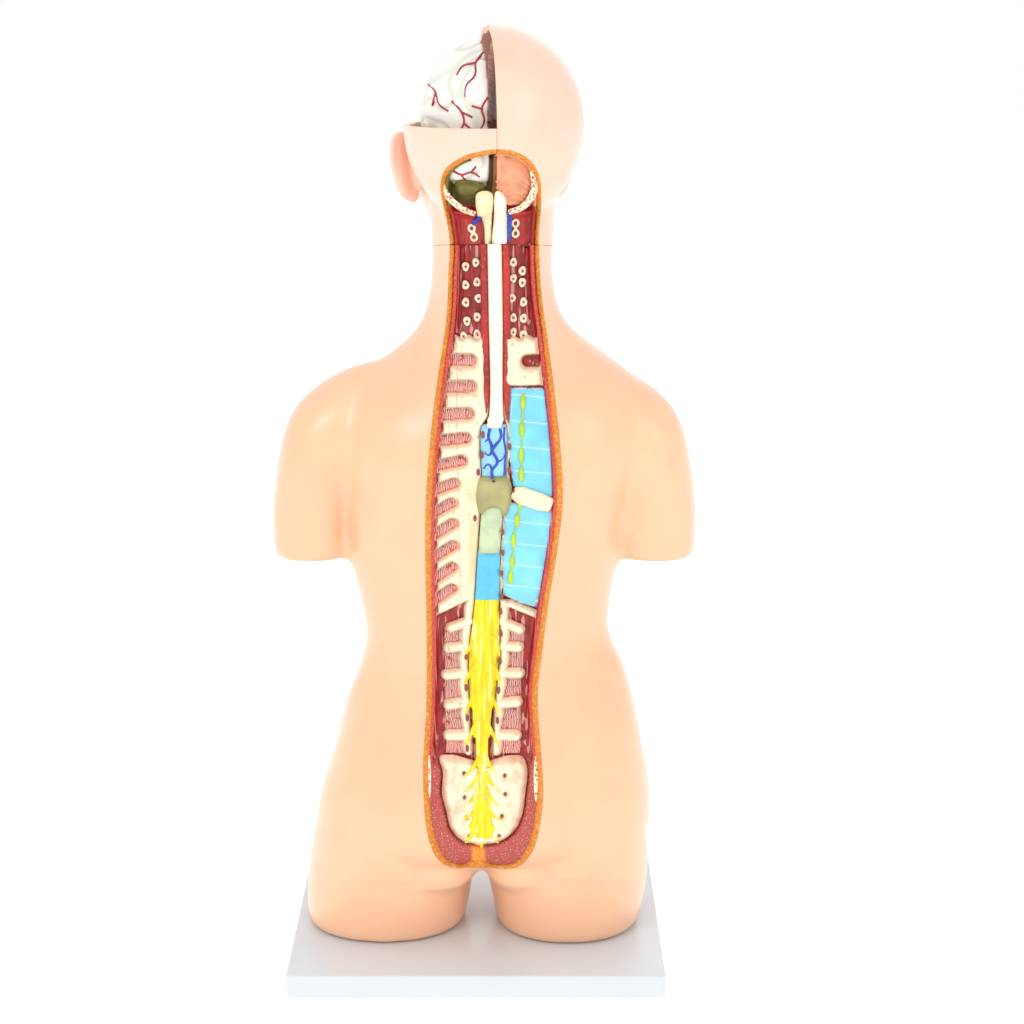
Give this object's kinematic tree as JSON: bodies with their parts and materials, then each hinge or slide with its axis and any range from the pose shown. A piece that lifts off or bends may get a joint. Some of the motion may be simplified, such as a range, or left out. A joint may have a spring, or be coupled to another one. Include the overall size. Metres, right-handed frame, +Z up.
{
  "type": "torso anatomy model",
  "caption": "Human torso teaching model on a board: open back with spine relief, head in two lift-off halves, lift-out brain half and chest and belly organs.",
  "frame": {"origin": "centre of the stand board's underside", "axes": "+Z up; the face looks towards +Y, the open back towards -Y, and the figure's right hand is on +X"},
  "size_m": [0.3812, 0.25, 0.85],
  "materials": {
    "board": "satin",
    "screw_steel": "satin",
    "block": "matte",
    "skin": "gloss",
    "muscle": "satin",
    "bone": "satin",
    "cord": "satin",
    "plexus": "satin",
    "dura": "satin",
    "arachnoid": "satin",
    "pia": "satin",
    "nerve": "satin",
    "pleura": "gloss",
    "ganglion": "satin",
    "brain": "satin",
    "skull_base": "matte",
    "lung": "satin",
    "heart": "gloss",
    "liver": "gloss",
    "stomach": "satin",
    "small_bowel": "satin",
    "large_bowel": "satin",
    "vessel": "gloss",
    "kidney": "gloss",
    "bladder": "satin"
  },
  "bodies": {
    "torso": {"base_board": "board", "board_screw_left_rear": "screw_steel", "board_screw_left_front": "screw_steel", "board_screw_right_rear": "screw_steel", "board_screw_right_front": "screw_steel", "screw_block_left": "block", "screw_block_right": "block", "torso_shell": "skin", "back_muscle_bed": "muscle", "cavity_tub": "muscle", "diaphragm": "muscle", "vertebral_column": "bone", "sacrum": "bone", "bare_rib_right": "bone", "hip_bone_section_left": "bone", "hip_bone_section_right": "bone", "spinal_cord": "cord", "venous_plexus_section": "plexus", "vertebra_seat": "dura", "arachnoid_section": "arachnoid", "pia_section": "pia", "cauda_equina": "nerve", "sacral_nerve_fan": "nerve", "pleura_panel_upper": "pleura", "pleura_panel_lower": "pleura", "ganglion_chain_upper": "ganglion", "ganglion_chain_lower": "ganglion", "windpipe_and_aorta": "vessel", "aorta_and_vena_cava": "vessel", "kidney_left": "kidney", "kidney_right": "kidney"},
    "head_left": {"head_shell_left": "skin", "nape_relief_left": "muscle", "medulla_left": "cord", "mid_section_panel_left": "brain", "brain_case_floor": "skull_base", "cerebellum_left": "brain"},
    "brain": {"brain_left": "brain"},
    "head_right": {"head_shell_right": "skin", "nape_relief_right": "muscle", "medulla_right": "cord", "mid_section_panel_right": "brain", "cerebellum_right": "skin"},
    "lung_right": {"lung_right": "lung"},
    "lung_left": {"lung_left": "lung"},
    "heart": {"heart": "heart"},
    "liver": {"liver": "liver"},
    "stomach": {"stomach": "stomach"},
    "large_intestine": {"large_intestine": "large_bowel"},
    "small_intestine": {"small_intestine": "small_bowel"},
    "bladder": {"bladder": "bladder"}
  },
  "joints": [
    {"name": "head_left_lift", "type": "slide", "parent": "torso", "child": "head_left", "axis": [0, 0, 1], "range_m": [0, 0.12]},
    {"name": "head_right_lift", "type": "slide", "parent": "torso", "child": "head_right", "axis": [0, 0, 1], "range_m": [0, 0.12]},
    {"name": "brain_lift", "type": "slide", "parent": "head_left", "child": "brain", "axis": [0, 0, 1], "range_m": [0, 0.1]},
    {"name": "lung_right_out", "type": "slide", "parent": "torso", "child": "lung_right", "axis": [0, 1, 0], "range_m": [0, 0.1]},
    {"name": "lung_left_out", "type": "slide", "parent": "torso", "child": "lung_left", "axis": [0, 1, 0], "range_m": [0, 0.1]},
    {"name": "heart_out", "type": "slide", "parent": "torso", "child": "heart", "axis": [0, 1, 0], "range_m": [0, 0.1]},
    {"name": "liver_out", "type": "slide", "parent": "torso", "child": "liver", "axis": [0, 1, 0], "range_m": [0, 0.1]},
    {"name": "stomach_out", "type": "slide", "parent": "torso", "child": "stomach", "axis": [0, 1, 0], "range_m": [0, 0.1]},
    {"name": "large_intestine_out", "type": "slide", "parent": "torso", "child": "large_intestine", "axis": [0, 1, 0], "range_m": [0, 0.1]},
    {"name": "small_intestine_out", "type": "slide", "parent": "torso", "child": "small_intestine", "axis": [0, 1, 0], "range_m": [0, 0.1]},
    {"name": "bladder_out", "type": "slide", "parent": "torso", "child": "bladder", "axis": [0, 1, 0], "range_m": [0, 0.1]}
  ]
}
